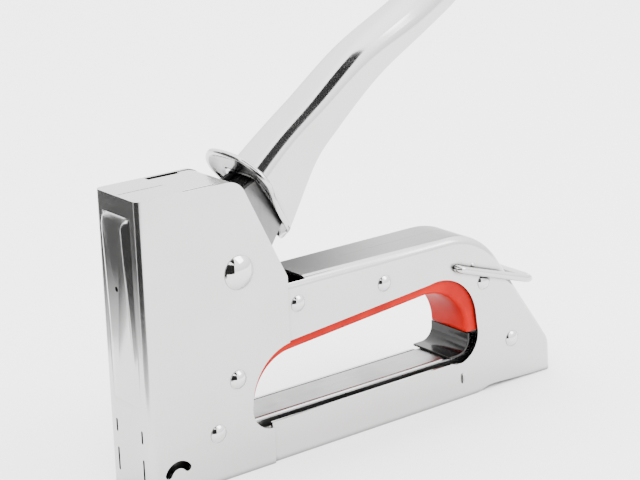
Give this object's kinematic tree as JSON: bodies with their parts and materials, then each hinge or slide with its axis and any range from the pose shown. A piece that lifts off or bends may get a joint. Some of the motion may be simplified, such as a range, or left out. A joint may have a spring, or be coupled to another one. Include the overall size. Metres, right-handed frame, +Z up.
{
  "type": "staple gun",
  "caption": "Hand staple gun: folded steel head and body, sprung squeeze handle with flared collar, red grip liner, rear magazine insert and wire locking bail.",
  "frame": {"origin": "lower edge of the front plate, on the gun's centre line, in the sole's plane", "axes": "+X from the front plate to the rear, +Z up from the sole, Y across the gun"},
  "size_m": [0.167, 0.03, 0.1472],
  "materials": {
    "chromed_sheet": "bright nickel-chrome plate over pressed sheet",
    "rivet_steel": "polished plated rivet heads",
    "red_plastic": "moulded, satin gloss",
    "bright_steel": "plated mild steel, lightly brushed",
    "tool_steel": "hardened and ground, oiled",
    "spring_steel": "drawn spring wire",
    "staple_wire": "galvanised flat wire",
    "buffer_rubber": "matt moulded rubber"
  },
  "bodies": {
    "body": {"head_shell": "chromed_sheet", "head_cap": "chromed_sheet", "body_plate_left": "chromed_sheet", "body_plate_right": "chromed_sheet", "grip_liner": "red_plastic", "magazine_channel": "bright_steel", "rear_guard": "bright_steel", "blade_guide": "tool_steel", "staple_strip": "staple_wire", "stop_bracket": "bright_steel", "buffer_pad": "buffer_rubber", "main_spring": "spring_steel", "spring_cap": "bright_steel", "pivot_rivet": "rivet_steel", "head_rivets": "rivet_steel", "body_rivets": "rivet_steel", "pivot_bush": "bright_steel", "body_spacers": "bright_steel", "return_spring": "spring_steel"},
    "handle": {"handle_shell": "chromed_sheet", "lever_cheek_left": "bright_steel", "lever_cheek_right": "bright_steel", "lever_web": "bright_steel", "lift_pin": "tool_steel"},
    "striker": {"plunger": "tool_steel", "driver_blade": "tool_steel", "blade_rivets": "tool_steel"},
    "magazine_insert": {"magazine_rail": "bright_steel", "pusher_rod": "tool_steel", "magazine_end": "bright_steel", "pusher_spring": "spring_steel"},
    "pusher": {"pusher": "tool_steel"},
    "bail": {"bail_wire": "chromed_sheet"}
  },
  "joints": [
    {"name": "handle_squeeze", "type": "hinge", "parent": "body", "child": "handle", "pos_m": [0.0342, 0, 0.0644], "axis": [0, 1, 0], "range_deg": [0, 36], "stiffness_Nm_per_rad": 8, "springref_deg": -20.05, "deforming": ["return_spring"]},
    {"name": "plunger_lift", "type": "slide", "parent": "body", "child": "striker", "axis": [0, 0, 1], "range_m": [0, 0.0135], "deforming": ["main_spring"]},
    {"name": "bail_swing", "type": "hinge", "parent": "body", "child": "bail", "pos_m": [0.1212, 0, 0.0463], "axis": [0, 1, 0], "range_deg": [-46, 0]},
    {"name": "insert_slide", "type": "slide", "parent": "body", "child": "magazine_insert", "axis": [1, 0, 0], "range_m": [0, 0.1]},
    {"name": "pusher_slide", "type": "slide", "parent": "magazine_insert", "child": "pusher", "axis": [1, 0, 0], "range_m": [0, 0.09], "stiffness_N_per_m": 40, "springref_m": -0.05, "deforming": ["pusher_spring"]}
  ],
  "couplings": [
    {"joint": "plunger_lift", "follows": "handle_squeeze", "m_per_rad": 0.020837}
  ]
}
